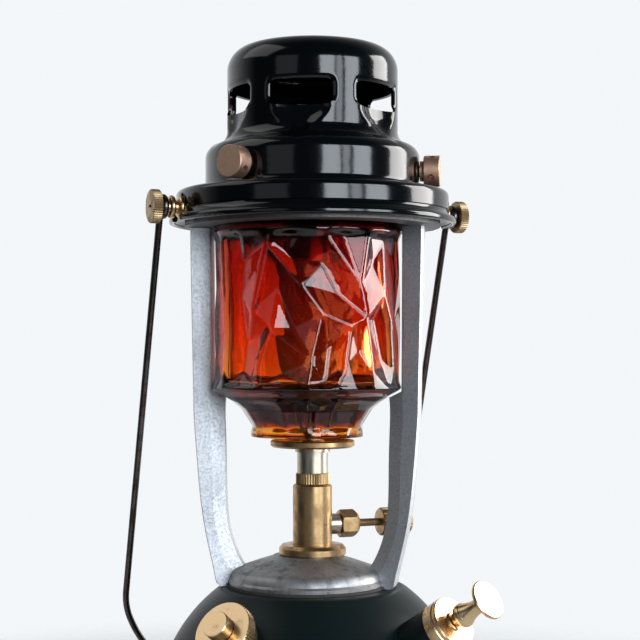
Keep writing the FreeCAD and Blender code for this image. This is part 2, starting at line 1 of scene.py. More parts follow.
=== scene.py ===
"""Looks of a paraffin pressure lantern: finishes, crystal glass, mantle, studio and camera.

Everything is in metres, Z up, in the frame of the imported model. Bearings are degrees round the lantern
from -Y towards +X.
"""

from __future__ import annotations

import logging
import math
from dataclasses import dataclass, field
from enum import Enum
from typing import Any

import bpy
import numpy as np
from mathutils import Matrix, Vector
from mathutils.geometry import delaunay_2d_cdt

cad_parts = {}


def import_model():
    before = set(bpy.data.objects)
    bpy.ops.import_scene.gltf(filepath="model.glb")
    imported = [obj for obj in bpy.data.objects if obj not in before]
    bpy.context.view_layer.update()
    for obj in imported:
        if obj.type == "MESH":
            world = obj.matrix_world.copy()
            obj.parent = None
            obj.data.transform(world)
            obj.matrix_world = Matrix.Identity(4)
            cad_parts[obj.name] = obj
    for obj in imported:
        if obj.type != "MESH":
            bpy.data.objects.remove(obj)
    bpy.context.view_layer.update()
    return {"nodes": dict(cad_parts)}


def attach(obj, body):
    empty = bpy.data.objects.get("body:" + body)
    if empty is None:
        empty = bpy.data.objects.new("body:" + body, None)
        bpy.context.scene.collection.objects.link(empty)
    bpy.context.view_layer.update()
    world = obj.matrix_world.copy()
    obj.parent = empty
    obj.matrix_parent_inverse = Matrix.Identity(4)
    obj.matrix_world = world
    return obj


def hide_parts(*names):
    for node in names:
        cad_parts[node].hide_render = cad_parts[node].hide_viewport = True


LOG = logging.getLogger("lantern")
MM = 0.001
FAR = 99.0
Colour = tuple[float, float, float]


# ------------------------------------------------------------------ shader graphs


class Wire:
    """One output socket of a material's graph; arithmetic on it adds Math nodes."""

    def __init__(self, graph: "Graph", socket: bpy.types.NodeSocket) -> None:
        """Keep the socket and the graph that it belongs to."""
        self.graph = graph
        self.socket = socket

    def math(self, operation: str, *others: Any) -> "Wire":
        """Add a Math node.

        Args:
            operation: The Math node's operation.
            others: The second and third operands, numbers or wires.

        Returns:
            The result's wire.
        """
        return self.graph.add("ShaderNodeMath", {"operation": operation}, dict(enumerate((self, *others))))

    def __add__(self, other: Any) -> "Wire":
        """Sum."""
        return self.math("ADD", other)

    __radd__ = __add__

    def __sub__(self, other: Any) -> "Wire":
        """Difference."""
        return self.math("SUBTRACT", other)

    def __rsub__(self, other: Any) -> "Wire":
        """Difference from a number."""
        return self.graph.add("ShaderNodeMath", {"operation": "SUBTRACT"}, {0: other, 1: self})

    def __mul__(self, other: Any) -> "Wire":
        """Product."""
        return self.math("MULTIPLY", other)

    __rmul__ = __mul__

    def __truediv__(self, other: Any) -> "Wire":
        """Quotient."""
        return self.math("DIVIDE", other)

    def step(self, low: float, high: float) -> "Wire":
        """Smooth step of this value from low to high, from 0 to 1."""
        settings = {"interpolation_type": "SMOOTHSTEP"}
        return self.graph.add("ShaderNodeMapRange", settings, {"Value": self, "From Min": low, "From Max": high})


class Graph:
    """The node tree of a material or a world, with one method that adds any node."""

    def __init__(self, owner: bpy.types.Material | bpy.types.World) -> None:
        """Empty the owner's tree and keep both.

        Args:
            owner: The new material or world.
        """
        owner.use_nodes = True
        self.owner = owner
        self.tree = owner.node_tree
        self.tree.nodes.clear()

    @classmethod
    def of_material(cls, name: str) -> "Graph":
        """Start a material of that name."""
        return cls(bpy.data.materials.new(name))

    def add(self, kind: str, settings: dict[str, Any] | None = None, sockets: dict[Any, Any] | None = None,
            out: Any = 0) -> Wire:
        """Add a node.

        Args:
            kind: The node's type name.
            settings: Its properties, or "stops" for a ramp as (place, colour) pairs.
            sockets: Its inputs by name or index, as values or wires.
            out: The output to return, by name or index.

        Returns:
            The wire of that output.
        """
        node = self.tree.nodes.new(kind)
        for key, value in (settings or {}).items():
            if key == "stops":
                self._set_stops(node.color_ramp, value)
            else:
                setattr(node, key, value)
        for key, value in (sockets or {}).items():
            if isinstance(value, Wire):
                self.tree.links.new(value.socket, node.inputs[key])
            elif value is not None:
                node.inputs[key].default_value = value
        return Wire(self, node.outputs[out])

    @staticmethod
    def _set_stops(ramp: bpy.types.ColorRamp, stops: list[tuple[float, Colour]]) -> None:
        """Give a colour ramp its stops.

        Args:
            ramp: The ramp.
            stops: Places from 0 to 1 and their colours, in order.
        """
        while len(ramp.elements) < len(stops):
            ramp.elements.new(0.5)
        for element, (place, colour) in zip(ramp.elements, stops):
            element.position = place
            element.color = (*colour, 1.0)

    def split(self, vector: Wire) -> list[Wire]:
        """A vector's three coordinates."""
        first = self.add("ShaderNodeSeparateXYZ", None, {0: vector})
        return [Wire(self, socket) for socket in first.socket.node.outputs]

    def length(self, vector: Wire) -> Wire:
        """A vector's length."""
        return self.add("ShaderNodeVectorMath", {"operation": "LENGTH"}, {0: vector}, "Value")

    def place(self, origin: Vector | None = None, turn: tuple[float, float, float] = (0, 0, 0)) -> Wire:
        """Object coordinates, moved and turned.

        Args:
            origin: The point that goes to zero, or nothing to leave the coordinates alone.
            turn: Euler angles of the axis that becomes Z.

        Returns:
            The coordinates' wire.
        """
        here = self.add("ShaderNodeTexCoord", out="Object")
        if origin is None:
            return here
        moved = self.add("ShaderNodeVectorMath", {"operation": "SUBTRACT"}, {0: here, 1: tuple(origin)})
        settings = {"rotation_type": "EULER_XYZ", "invert": True}
        return self.add("ShaderNodeVectorRotate", settings, {"Vector": moved, "Rotation": turn})

    def noise(self, where: Wire, per_metre: float, detail: float = 3.0, rough: float = 0.55,
              stretch: Colour = (1, 1, 1)) -> Wire:
        """Noise from 0 to 1.

        Args:
            where: The coordinates.
            per_metre: Features in a metre.
            detail: Octaves.
            rough: Strength of each octave against the one before.
            stretch: Factors on the coordinates; less than 1 draws the pattern out along that axis.

        Returns:
            The noise's wire.
        """
        scaled = self.add("ShaderNodeVectorMath", {"operation": "MULTIPLY"}, {0: where, 1: stretch})
        sockets = {"Vector": scaled, "Scale": per_metre, "Detail": detail, "Roughness": rough}
        return self.add("ShaderNodeTexNoise", {"noise_dimensions": "3D"}, sockets, "Fac")

    def spots(self, where: Wire, per_metre: float, size: float) -> Wire:
        """Round spots, 1 at their centres: one minus a smooth step of the distance to the nearest Voronoi point.

        Args:
            where: The coordinates.
            per_metre: Spots in a metre.
            size: A spot's radius as a share of the spacing.

        Returns:
            The spots' wire.
        """
        sockets = {"Vector": where, "Scale": per_metre}
        distance = self.add("ShaderNodeTexVoronoi", {"feature": "F1"}, sockets, "Distance")
        return 1 - distance.step(0.0, size)

    def blend(self, factor: Any, first: Any, second: Any) -> Wire:
        """Mix two colours.

        Args:
            factor: The second colour's share.
            first: A colour or its wire.
            second: A colour or its wire.

        Returns:
            The mixed colour's wire.
        """
        settings = {"data_type": "RGBA", "clamp_factor": True}
        sockets = {0: factor, 6: self._rgba(first), 7: self._rgba(second)}
        return self.add("ShaderNodeMix", settings, sockets, 2)

    @staticmethod
    def _rgba(colour: Any) -> Any:
        """A colour with its alpha, or the wire that it already is."""
        return colour if isinstance(colour, Wire) else (*colour, 1.0)

    def bump(self, height: Wire, distance: float, strength: float = 1.0) -> Wire:
        """Bump from a height of 0 to 1 that stands for that many metres."""
        return self.add("ShaderNodeBump", None, {"Height": height, "Distance": distance, "Strength": strength})

    def surface(self, **sockets: Any) -> bpy.types.Material:
        """Finish with a Principled shader.

        Args:
            sockets: Its inputs, with underscores for spaces.

        Returns:
            The material.
        """
        named = {key.replace("_", " "): value for key, value in sockets.items()}
        shader = self.add("ShaderNodeBsdfPrincipled", None, named)
        self.end("ShaderNodeOutputMaterial", shader)
        return self.owner

    def end(self, kind: str, shader: Wire) -> None:
        """Add the output node of that type and feed it the shader."""
        output = self.tree.nodes.new(kind)
        self.tree.links.new(shader.socket, output.inputs["Surface"])


# ------------------------------------------------------------------ axes of turned parts


class Axis(Enum):
    """Axes that turned parts are made about: a point on it, a bearing and a tilt in degrees."""

    LANTERN = ((0, 0, 0), 0.0, 90.0)
    PUMP = ((0, 0, 0.0242), 27.0, 32.5)
    FILLER = ((0, 0, 0.0242), -57.0, 35.4)
    CONTROL = ((0, 0, 0.1134), 90.0, 0.0)
    BAIL = ((0, 0, 0.262), 90.0, 0.0)
    HOOD_SCREW_1 = ((0, 0, 0.2805), -60.0, 0.0)
    HOOD_SCREW_2 = ((0, 0, 0.2805), 60.0, 0.0)
    HOOD_SCREW_3 = ((0, 0, 0.2805), 180.0, 0.0)

    @property
    def origin(self) -> Vector:
        """A point on the axis."""
        return Vector(self.value[0])

    @property
    def direction(self) -> Vector:
        """Unit vector along the axis.

        Returns:
            The sine and cosine of the bearing, level, times the tilt's cosine, over the tilt's sine.
        """
        bearing, tilt = (math.radians(angle) for angle in self.value[1:])
        level = math.cos(tilt)
        return Vector((math.sin(bearing) * level, -math.cos(bearing) * level, math.sin(tilt)))

    @property
    def turn(self) -> tuple[float, float, float]:
        """Euler angles that turn Z to the axis."""
        return tuple(self.direction.to_track_quat("Z", "Y").to_euler("XYZ"))


# ------------------------------------------------------------------ finishes


@dataclass(frozen=True)
class Finish:
    """A finish; each kind works out its own material."""

    name: str

    def material(self) -> bpy.types.Material:
        """The finish's material, made once."""
        return bpy.data.materials.get(self.title) or self.make()

    @property
    def title(self) -> str:
        """The material's name, kept apart from the names of the CAD's own materials."""
        return f"{self.name}.finish"

    def make(self) -> bpy.types.Material:
        """Build the material."""
        raise NotImplementedError


@dataclass(frozen=True)
class Enamel(Finish):
    """Glossy vitreous enamel: a slow ripple, fine orange peel and a little dust."""

    colour: Colour = (0.0015, 0.0022, 0.0030)
    dust: Colour = (0.030, 0.032, 0.034)
    ripple: float = 0.20 * MM

    def make(self) -> bpy.types.Material:
        """Colour is black with sparse dust; bump is slow ripple plus fine peel.

        Returns:
            The new material.
        """
        graph = Graph.of_material(self.title)
        where = graph.place()
        slow = graph.noise(where, 90, 1.0)
        peel = graph.noise(where, 900, 2.0)
        dust = graph.noise(where, 2600, 2.0).step(0.70, 0.80) * graph.noise(where, 60, 2.0).step(0.45, 0.7)
        return graph.surface(
            Base_Color=graph.blend(dust * 0.5, self.colour, self.dust),
            Roughness=0.085 + 0.07 * peel + 0.20 * dust,
            Normal=graph.bump(slow * 0.85 + peel * 0.10, self.ripple, 0.5))


@dataclass(frozen=True)
class TankPaint(Finish):
    """Satin paint, nearly black with a green cast, with spray texture and faint handling marks."""

    colour: Colour = (0.0030, 0.0080, 0.0082)
    worn: Colour = (0.007, 0.014, 0.0145)

    def make(self) -> bpy.types.Material:
        """Colour drifts between the two tones; roughness follows the same wear.

        Returns:
            The new material.
        """
        graph = Graph.of_material(self.title)
        where = graph.place()
        drift = graph.noise(where, 25, 4.0).step(0.35, 0.75)
        spray = graph.noise(where, 1500, 3.0)
        marks = graph.noise(where, 140, 5.0, 0.7, (1, 1, 4)).step(0.58, 0.72)
        return graph.surface(
            Base_Color=graph.blend(drift * 0.5 + marks * 0.3, self.colour, self.worn),
            Roughness=0.34 + 0.10 * spray + 0.08 * marks,
            Specular_IOR_Level=0.22,
            Normal=graph.bump(spray, 0.02 * MM, 0.6))


@dataclass(frozen=True)
class CastAluminium(Finish):
    """Tumbled aluminium casting: soft mottling, fine pits and grey grime, or wiped swirls."""

    colour: Colour = (0.60, 0.62, 0.65)
    grime: Colour = (0.22, 0.23, 0.24)
    swirled: bool = False
    roughness: float = 0.46

    def make(self) -> bpy.types.Material:
        """Metal mixed with grime by mottling; pits darken and dent it.

        Returns:
            The new material.
        """
        graph = Graph.of_material(self.title)
        where = graph.place()
        mottle = graph.noise(where, 900, 5.0, 0.7)
        pits = graph.spots(where, 1100, 0.30) * graph.noise(where, 350, 2.0).step(0.48, 0.62)
        cloud = graph.noise(where, 60, 5.0, 0.6, (1, 1, 0.5))
        grime = mottle.step(0.40, 0.68) * 0.35 + pits * 0.5 + cloud.step(0.42, 0.72) * 0.25
        if self.swirled:
            bent = graph.noise(where, 45, 6.0, 0.6, (1, 1, 2.5))
            ring = graph.length(where)
            wipe = graph.noise(where, 180, 6.0, 0.7, (1, 1, 0.2))
            swirl = ((ring * 900 + bent * 26).math("SINE") * 0.5 + 0.5) * wipe.step(0.35, 0.7)
            grime = grime * 0.5 + swirl * 0.55 + wipe.step(0.45, 0.7) * 0.3
        return graph.surface(
            Base_Color=graph.blend(grime, self.colour, self.grime),
            Metallic=1.0,
            Roughness=self.roughness + 0.12 * mottle + 0.15 * grime,
            Normal=graph.bump(mottle * 0.6 - pits, 0.08 * MM, 0.5))


@dataclass(frozen=True)
class TurnedMetal(Finish):
    """Lathe-turned metal: rings across faces, hoops round sides, and a tarnish that gathers in patches."""

    axis: Axis = Axis.LANTERN
    colour: Colour = (0.62, 0.42, 0.20)
    tarnish: Colour = (0.20, 0.11, 0.045)
    tarnish_share: float = 0.35
    roughness: float = 0.26
    marks: float = 0.02 * MM

    def make(self) -> bpy.types.Material:
        """Rings come from noise along the radius and along the axis, each alone.

        Returns:
            The new material.
        """
        graph = Graph.of_material(self.title)
        where = graph.place(self.axis.origin, self.axis.turn)
        across, aside, along = graph.split(where)
        radius = (across * across + aside * aside).math("SQRT")
        rings = graph.add("ShaderNodeCombineXYZ", None, {0: radius, 1: along, 2: 0.0})
        fine = graph.noise(rings, 5200, 2.0)
        broad = graph.noise(rings, 1300, 2.0)
        cloud = graph.noise(where, 130, 5.0, 0.62)
        specks = graph.spots(where, 1400, 0.22) * cloud.step(0.48, 0.62)
        stain = cloud.step(0.62 - self.tarnish_share * 0.4, 0.86 - self.tarnish_share * 0.3)
        dull = stain * 0.55 + specks * 0.45 + (broad - 0.5) * 0.12
        return graph.surface(
            Base_Color=graph.blend(dull, self.colour, self.tarnish),
            Metallic=1.0,
            Roughness=self.roughness + 0.14 * fine + 0.22 * stain,
            Normal=graph.bump(fine * 0.5 + broad * 0.3 - specks * 0.4, self.marks, 0.7))


@dataclass(frozen=True)
class DrawnWire(Finish):
    """Dark drawn steel wire, rubbed brighter in streaks, with a brown bloom."""

    colour: Colour = (0.135, 0.12, 0.11)
    bloom: Colour = (0.045, 0.03, 0.024)

    def make(self) -> bpy.types.Material:
        """Bloom and rub come from stretched noise.

        Returns:
            The new material.
        """
        graph = Graph.of_material(self.title)
        where = graph.place()
        rub = graph.noise(where, 900, 4.0, 0.6, (1, 1, 0.06))
        bloom = graph.noise(where, 110, 5.0, 0.65).step(0.42, 0.68)
        return graph.surface(
            Base_Color=graph.blend(bloom * 0.8, self.colour, self.bloom),
            Metallic=1.0,
            Roughness=0.17 + 0.16 * rub + 0.12 * bloom,
            Normal=graph.bump(rub, 0.02 * MM, 0.6))


@dataclass(frozen=True)
class CrystalGlass(Finish):
    """Coloured glass: amber at its foot, dark red in the neck, orange-red above the shoulder, deep red higher up;
    near black in a band beneath the shoulder and at the top under the brim, both painted shade.
    """

    # Painted shade: the near-black stops from 0.1720 to 0.1790 paint a dark band beneath the shoulder, and the stops
    # from 0.2490 up paint the brim's shadow over the top of the glass.
    stops: tuple[tuple[float, Colour], ...] = (
        (0.1570, (0.92, 0.46, 0.06)), (0.1610, (0.70, 0.20, 0.03)), (0.1640, (0.16, 0.02, 0.010)),
        (0.1720, (0.05, 0.006, 0.005)), (0.1743, (0.04, 0.006, 0.005)), (0.1752, (0.28, 0.04, 0.02)),
        (0.1762, (0.22, 0.03, 0.02)), (0.1772, (0.03, 0.005, 0.004)), (0.1790, (0.04, 0.007, 0.005)),
        (0.1812, (0.80, 0.24, 0.04)), (0.2080, (0.70, 0.115, 0.03)), (0.2440, (0.50, 0.05, 0.03)),
        (0.2490, (0.22, 0.02, 0.014)), (0.2530, (0.03, 0.004, 0.004)))

    def make(self) -> bpy.types.Material:
        """Colour runs from foot to body by height, with slow streaks; the surface ripples a little.

        Returns:
            The new material.
        """
        graph = Graph.of_material(self.title)
        where = graph.place()
        height = graph.split(where)[2]
        streak = graph.noise(where, 28, 3.0, 0.5, (1, 1, 0.5))
        level = height + (streak - 0.5) * 0.0015
        low, high = self.stops[0][0], self.stops[-1][0]
        stops = [((place - low) / (high - low), colour) for place, colour in self.stops]
        # The ramp's colour carries the painted shade of the band beneath the shoulder and of the brim's shadow at the
        # top.
        tint_and_painted_shade = graph.add("ShaderNodeValToRGB", {"stops": stops}, {0: (level - low) / (high - low)})
        ripple = graph.noise(where, 130, 2.0)
        return graph.surface(
            Base_Color=tint_and_painted_shade,
            Roughness=0.004 + 0.012 * graph.noise(where, 500, 2.0),
            Transmission_Weight=1.0,
            IOR=1.52,
            Normal=graph.bump(ripple, 0.25 * MM, 0.35))


@dataclass(frozen=True)
class MantleCloth(Finish):
    """Knitted mantle cloth: rows of small loops, off-white, with ash marks."""

    colour: Colour = (0.80, 0.77, 0.70)
    shade: Colour = (0.42, 0.38, 0.33)
    wales: int = 110
    courses: int = 60

    def make(self) -> bpy.types.Material:
        """Loops are a product of sines of the piece's own UV map.

        Returns:
            The new material.
        """
        graph = Graph.of_material(self.title)
        around, up, _ = graph.split(graph.add("ShaderNodeUVMap"))
        wales = (around * (2 * math.pi * self.wales)).math("SINE")
        courses = (up * (2 * math.pi * self.courses) + wales * 0.8).math("SINE")
        loops = wales * courses * 0.5 + 0.5
        ash = graph.noise(graph.place(), 160, 4.0).step(0.45, 0.75)
        return graph.surface(
            Base_Color=graph.blend(loops * 0.5 + ash * 0.3, self.colour, self.shade),
            Roughness=0.9,
            Sheen_Weight=0.2,
            Normal=graph.bump(loops, 0.25 * MM, 0.8))


@dataclass(frozen=True)
class Plain(Finish):
    """Matt rubber, fibre, leather or ceramic: two tones in a fine grain."""

    colour: Colour = (0.02, 0.02, 0.02)
    second: Colour = (0.05, 0.048, 0.045)
    grain: float = 700.0
    roughness: float = 0.7

    def make(self) -> bpy.types.Material:
        """Grain drives colour, roughness and bump.

        Returns:
            The new material.
        """
        graph = Graph.of_material(self.title)
        where = graph.place()
        grain = graph.noise(where, self.grain, 5.0, 0.65)
        wear = graph.noise(where, 60, 3.0).step(0.4, 0.75)
        return graph.surface(
            Base_Color=graph.blend(grain.step(0.35, 0.7) * 0.6 + wear * 0.3, self.colour, self.second),
            Roughness=self.roughness + 0.15 * grain,
            Normal=graph.bump(grain, 0.08 * MM, 0.6))


# ------------------------------------------------------------------ surfaces


def grid_mesh(name: str, points: np.ndarray, uv: np.ndarray | None = None) -> bpy.types.Mesh:
    """Make a mesh from a grid that closes on itself both ways, like a ring of rings.

    Args:
        name: The mesh's name.
        points: Rows by columns by three coordinates in metres; columns go round the Z axis anticlockwise and
            rows go up the outside and down the inside.
        uv: Rows by columns by two, or nothing.

    Returns:
        The mesh, smooth-shaded, its faces pointing outwards.
    """
    rows, columns = points.shape[:2]
    index = np.arange(rows * columns).reshape(rows, columns)
    right = np.roll(index, -1, axis=1)
    above = np.roll(index, -1, axis=0)
    corner = np.roll(right, -1, axis=0)
    faces = np.stack([index, right, corner, above], axis=-1).reshape(-1, 4)
    mesh = bpy.data.meshes.new(name)
    mesh.from_pydata(points.reshape(-1, 3), [], faces)
    mesh.polygons.foreach_set("use_smooth", np.ones(len(faces), bool))
    if uv is not None:
        layer = mesh.uv_layers.new(name="UVMap")
        layer.data.foreach_set("uv", uv.reshape(-1, 2)[faces.reshape(-1)].astype(np.float32).reshape(-1))
    mesh.update()
    return mesh


def relaxed(grid: np.ndarray, passes: int) -> np.ndarray:
    """Average every value with its two neighbours, round the columns and then along the rows.

    Args:
        grid: Rows by columns; the columns close on themselves.
        passes: How often to do it.

    Returns:
        The smoothed grid.
    """
    for _ in range(passes):
        grid = (np.roll(grid, 1, axis=1) + grid + np.roll(grid, -1, axis=1)) / 3
        grid = np.concatenate([grid[:1], (grid[:-2] + grid[1:-1] + grid[2:]) / 3, grid[-1:]])
    return grid


def circle_centre(one: np.ndarray, two: np.ndarray, three: np.ndarray) -> np.ndarray:
    """Centre of the circle through three points.

    Its product with each chord is half the difference of the squares of that chord's ends.

    Args:
        one: First point.
        two: Second point.
        three: Third point.

    Returns:
        The centre.
    """
    chords = np.array([two - one, three - one])
    squares = np.array([two @ two - one @ one, three @ three - one @ one]) / 2
    return np.linalg.solve(chords, squares)


def smooth_step(values: np.ndarray, low: float, high: float) -> np.ndarray:
    """Three t squared minus two t cubed, with t running from 0 at low to 1 at high."""
    t = np.clip((values - low) / (high - low), 0.0, 1.0)
    return t * t * (3.0 - 2.0 * t)


# ------------------------------------------------------------------ sub-assemblies


def dressed_piece(mesh: bpy.types.Mesh, finish: Finish) -> bpy.types.Object:
    """Link a mesh to the scene as a piece of its own name.

    Args:
        mesh: The mesh.
        finish: Its finish.

    Returns:
        The piece.
    """
    piece = bpy.data.objects.new(mesh.name, mesh)
    bpy.context.scene.collection.objects.link(piece)
    mesh.materials.append(finish.material())
    return piece


@dataclass
class Dressing:
    """CAD nodes that keep their shape, and the finish that each one takes."""

    title: str
    finishes: dict[str, Finish]

    def dress(self, nodes: dict[str, bpy.types.Object]) -> None:
        """Give every node's material slots its finish.

        Args:
            nodes: The CAD nodes by name.
        """
        for name, finish in self.finishes.items():
            for slot in nodes[name].material_slots:
                slot.material = finish.material()
            LOG.info("%s: %s in %s", self.title, name, finish.name)


@dataclass
class CrystalGlobe:
    """Thick glass pressed in a crumpled mould: flat facets that meet in ridges and creases.

    The facets are triangles between marks on the outside. A mark is a bearing in degrees to the right of `front`,
    a height in millimetres and a depth below the cylinder. The marks of the front are placed one by one and the
    others fill the back. A ridge is a pair of marks that a fold joins.
    """

    radius: float = 44.9
    deepest: float = 8.0
    rim_step: float = 1.0
    wall: float = 2.6
    least: float = 1.3
    top: float = 262.0
    rim: float = 251.5
    shoulder: float = 178.8
    centre: tuple[float, float] = (-2.4, 1.0)
    front: float = -22.0
    columns: int = 280
    outer_rows: int = 190
    inner_rows: int = 110
    seed: int = 5
    back_marks: int = 46
    back: tuple[float, float] = (80.0, 280.0)
    deep_back: tuple[float, float] = (112.0, 248.0)
    back_depths: tuple[float, ...] = (0.6, 1.0, 2.6, 3.8, 4.8)
    golden: float = 0.618034
    band_step: int = 15
    flutes: int = 6
    flute_depth: float = 1.7
    flute_span: tuple[float, ...] = (157.0, 163.0, 171.0, 175.0)
    neck: tuple[tuple[float, float], ...] = (
        (155.5, 26.6), (160.4, 26.8), (163.0, 28.4), (168.4, 32.0), (172.8, 37.6), (174.9, 39.3),
        (176.8, 42.9), (178.0, 44.6), (178.8, 44.9))
    marks: tuple[tuple[float, float, float], ...] = (
        (-66, 246, 0.8), (-48, 250, 4.2), (-24, 246, 0.4), (-9, 251, 3.6), (8, 252, 0.4), (24, 249, 4.0),
        (40, 250, 0.5), (58, 246, 3.0), (-62, 230, 0.4), (-45, 237, 4.8), (-31, 233, 1.6), (-12, 238, 5.0),
        (10, 236, 4.8), (-48, 221, 4.8), (-34, 213, 0.6), (-19, 224, 4.0), (-3.4, 226, 0.3), (9, 212.6, 0.3),
        (20, 222, 4.8), (34, 225, 0.3), (47, 236, 4.2), (54, 222, 0.4), (48, 210, 4.4), (64, 208, 0.6),
        (-58, 203, 0.4), (-42, 200, 4.8), (-22, 206, 0.6), (-8, 206, 4.8), (27, 206.8, 0.3), (38.6, 210.6, 0.5),
        (15, 198, 4.8), (-62, 184, 0.6), (-45, 187, 4.4), (-29, 190, 0.6), (-14, 186, 4.2), (3, 192, 0.4),
        (12, 182, 4.0), (24, 190, 0.5), (34, 196, 3.0), (43, 186, 0.3), (55, 192, 4.0), (68, 186, 0.6))
    ridges: tuple[tuple[int, int], ...] = (
        (4, 19), (19, 29), (29, 39), (2, 16), (16, 17), (17, 28), (2, 14), (14, 26), (26, 33), (1, 9), (9, 13),
        (13, 25), (25, 32), (17, 35), (28, 37), (8, 24), (6, 19), (19, 21), (28, 29), (26, 35))

    def all_marks(self) -> np.ndarray:
        """The marks of the front, scattered marks for the back, and plain rows above and below.

        Returns:
            Rows of bearing in radians, height and depth.
        """
        rng = np.random.default_rng(self.seed)
        start, end = self.back
        scattered = []
        for number in range(self.back_marks):
            bearing = start + (end - start) * ((number * self.golden) % 1.0)
            height = self.shoulder + 3 + (self.rim - self.shoulder - 5) * (number + 0.5) / self.back_marks
            depth = rng.choice(self.back_depths)
            deep = self.deep_back[0] < bearing < self.deep_back[1]
            scattered.append((bearing, height, depth if deep else depth * 0.25))
        rows = [(bearing, height, depth) for bearing in range(-180, 180, self.band_step)
                for height, depth in ((self.shoulder - 1.0, 0.4), (self.rim + 1.0, 1.2))]
        marks = np.array([*self.marks, *scattered, *rows])
        return np.column_stack([np.radians(marks[:, 0]), marks[:, 1:]])

    def facets(self) -> tuple[np.ndarray, np.ndarray]:
        """Triangles between the marks, with the marks repeated once round on both sides.

        Returns:
            The marks, and the triangles as rows of three indices.
        """
        marks = self.all_marks()
        turn = np.array([2 * math.pi, 0, 0])
        marks = np.concatenate([marks - turn, marks, marks + turn])
        flat = [Vector((bearing * self.radius, height)) for bearing, height, _ in marks]
        count = len(marks) // 3
        folds = [(count + one, count + two) for one, two in self.ridges]
        triangles = delaunay_2d_cdt(flat, folds, [], 0, 1e-4)[2]
        return marks, np.array(triangles)

    def crumple(self, angle: np.ndarray, height: np.ndarray) -> np.ndarray:
        """Radius where a level ray from the axis meets the plane of the facet in front of it.

        With n the facet's normal, P one of its corners and u the ray, the radius is n.(P - (0, 0, z)) / n.u.

        Args:
            angle: Bearings in radians.
            height: Heights in millimetres.

        Returns:
            The radius for every bearing and height.
        """
        marks, triangles = self.facets()
        level, up = np.broadcast_arrays(angle, height)
        reach = self.radius - marks[:, 2]
        corners = np.stack([reach * np.cos(marks[:, 0]), reach * np.sin(marks[:, 0]), marks[:, 1]], axis=-1)
        radius = np.full(level.shape, self.radius - 1.0)
        for one, two, three in triangles:
            flat = marks[[one, two, three], :2]
            low, high = flat.min(axis=0) - 1e-6, flat.max(axis=0) + 1e-6
            near = (level >= low[0]) & (level <= high[0]) & (up >= low[1]) & (up <= high[1])
            if not near.any():
                continue
            sides = np.column_stack([flat[1] - flat[0], flat[2] - flat[0]])
            share = np.linalg.inv(sides) @ np.stack([level[near] - flat[0, 0], up[near] - flat[0, 1]])
            inside = (share.min(axis=0) > -1e-6) & (share.sum(axis=0) < 1 + 1e-6)
            normal = np.cross(corners[two] - corners[one], corners[three] - corners[one])
            facing = normal[0] * np.cos(level[near]) + normal[1] * np.sin(level[near])
            distance = (normal @ corners[one] - normal[2] * up[near]) / facing
            values = radius[near]
            values[inside] = distance[inside]
            radius[near] = values
        return np.clip(radius, self.radius - self.deepest, self.radius)

    def outside(self, angle: np.ndarray, height: np.ndarray) -> np.ndarray:
        """Radius of the whole outside: the crumpled body, fading into a plain shoulder, and a fluted neck.

        The flutes are the size of the sine of `flutes` times the bearing.

        Args:
            angle: Bearings in radians.
            height: Heights in millimetres.

        Returns:
            The radius for every bearing and height.
        """
        levels, radii = np.array(self.neck).T
        plain = np.interp(height, levels, radii) - self.rim_step * smooth_step(height, self.rim, self.rim + 2.0)
        body = self.crumple(angle, np.clip(height, self.shoulder, self.rim))
        share = smooth_step(height, self.shoulder - 0.3, self.shoulder + 2.6)
        share = share * (1 - smooth_step(height, self.rim - 4.0, self.rim))
        flutes = np.abs(np.sin(self.flutes * angle + 1.1 * np.sin(3 * angle))) * self.flute_depth
        low, full, fading, gone = self.flute_span
        neck_share = smooth_step(height, low, full) * (1 - smooth_step(height, fading, gone))
        return plain * (1 - share) + body * share - flutes * neck_share

    def build(self) -> bpy.types.Object:
        """Make the closed wall of glass as one grid: up the outside, over the rim and down the inside.

        Returns:
            The piece.
        """
        angle = np.linspace(-math.pi, math.pi, self.columns, endpoint=False)[None, :]
        bottom = self.neck[0][0]
        neck_rows = self.outer_rows // 3
        rise = np.concatenate([np.linspace(bottom, self.shoulder, neck_rows, endpoint=False),
                               np.linspace(self.shoulder, self.top, self.outer_rows - neck_rows)])
        outer = relaxed(self.outside(angle, rise[:, None]), 1)
        fall = np.linspace(self.top, bottom, self.inner_rows)
        lifted = fall + self.wall * 0.75 * smooth_step(-fall, -185.0, -176.0)
        lifted[-1] = bottom
        facing = self.outside(angle, fall[:, None])
        inner = np.minimum(relaxed(facing, 40) - self.wall, relaxed(facing, 3) - self.least)
        radius = np.concatenate([outer, inner])
        height = np.concatenate([rise, lifted])[:, None] + 0 * angle
        bearing = angle + math.radians(self.front - 90)
        points = np.stack([self.centre[0] + radius * np.cos(bearing), self.centre[1] + radius * np.sin(bearing),
                           height], axis=-1) * MM
        piece = dressed_piece(grid_mesh("crystal_glass", points), CrystalGlass("crystal_glass"))
        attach(piece, "root")
        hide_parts("glass_globe")
        LOG.info("globe: %s with %d points", piece.name, len(piece.data.vertices))
        return piece


